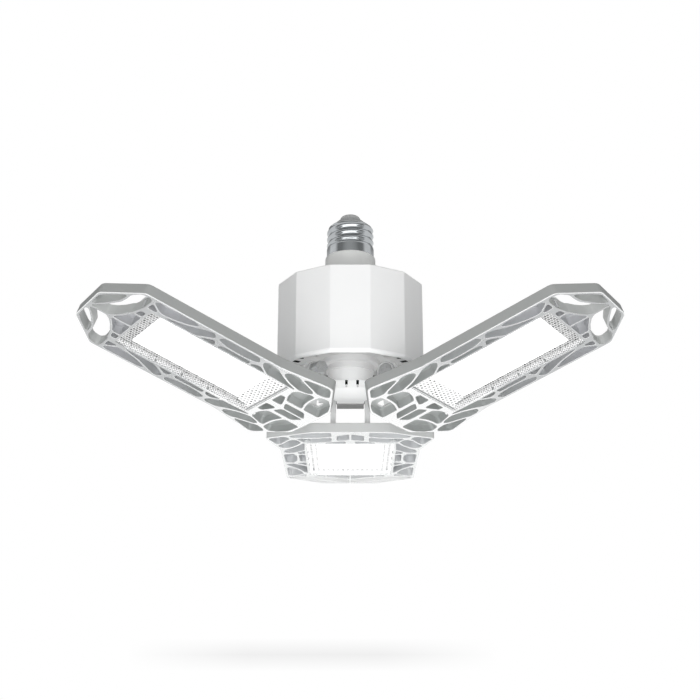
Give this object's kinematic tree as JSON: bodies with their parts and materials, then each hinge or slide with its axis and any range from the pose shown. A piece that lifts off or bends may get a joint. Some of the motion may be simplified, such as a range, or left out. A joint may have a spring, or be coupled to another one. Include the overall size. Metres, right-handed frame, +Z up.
{
  "type": "deformable garage light",
  "caption": "Screw-base garage ceiling light with a faceted driver housing and LED panels that fold up and down on hinges under it.",
  "frame": {"origin": "centre of the lower rim of the screw shell, where the metal meets the collar", "axes": "+Z up along the screw base, into the lamp socket; +Y towards the back panel; +X towards the right panel"},
  "size_m": [0.2766, 0.2504, 0.1256],
  "materials": {
    "contact_metal": "satin",
    "insulator_grey": "gloss",
    "shell_nickel": "polished",
    "collar_grey": "satin",
    "housing_white": "satin",
    "screw_steel": "satin",
    "board_green": "satin",
    "transformer_amber": "satin",
    "capacitor_dark": "gloss",
    "chip_black": "matte",
    "lead_black": "satin",
    "hub_white": "satin",
    "ring_grey": "matte",
    "lead_red": "satin",
    "hinge_steel": "satin",
    "washer_black": "matte",
    "frame_silver": "satin",
    "lens_clear": "gloss",
    "seal_silicone": "matte",
    "led_board_white": "satin",
    "diode_glow": "satin",
    "heat_plate_alu": "satin",
    "lead_white": "satin"
  },
  "bodies": {
    "root": {"contact_tip": "contact_metal", "base_insulator": "insulator_grey", "screw_shell": "shell_nickel", "base_collar": "collar_grey", "driver_housing": "housing_white", "floor_plate": "housing_white", "floor_screws": "screw_steel", "driver_board": "board_green", "board_screws": "screw_steel", "driver_transformer": "transformer_amber", "driver_capacitors": "capacitor_dark", "driver_chips": "chip_black", "supply_leads": "lead_black", "hub_body": "hub_white", "neck_lock_ring": "ring_grey", "hub_cover": "hub_white", "hub_leads": "lead_red", "hinge_screws": "hinge_steel", "hinge_nuts": "hinge_steel", "friction_washers": "washer_black"},
    "left_panel": {"left_frame": "frame_silver", "left_lens": "lens_clear", "left_lens_seal": "seal_silicone", "left_led_board": "led_board_white", "left_diodes": "diode_glow", "left_heat_plate": "heat_plate_alu", "left_plate_screws": "screw_steel", "left_lead": "lead_white"},
    "right_panel": {"right_frame": "frame_silver", "right_lens": "lens_clear", "right_lens_seal": "seal_silicone", "right_led_board": "led_board_white", "right_diodes": "diode_glow", "right_heat_plate": "heat_plate_alu", "right_plate_screws": "screw_steel", "right_lead": "lead_white"},
    "back_panel": {"back_frame": "frame_silver", "back_lens": "lens_clear", "back_lens_seal": "seal_silicone", "back_led_board": "led_board_white", "back_diodes": "diode_glow", "back_heat_plate": "heat_plate_alu", "back_plate_screws": "screw_steel", "back_lead": "lead_white"}
  },
  "joints": [
    {"name": "left_panel_fold", "type": "hinge", "parent": "root", "child": "left_panel", "pos_m": [-0.02373, -0.0137, -0.0729], "axis": [-0.5, 0.866, 0], "range_deg": [-19.5, 70.5]},
    {"name": "right_panel_fold", "type": "hinge", "parent": "root", "child": "right_panel", "pos_m": [0.02373, -0.0137, -0.0729], "axis": [-0.5, -0.866, 0], "range_deg": [-19.5, 70.5]},
    {"name": "back_panel_fold", "type": "hinge", "parent": "root", "child": "back_panel", "pos_m": [0, 0.0274, -0.0729], "axis": [1, 0, 0], "range_deg": [0, 90]}
  ]
}
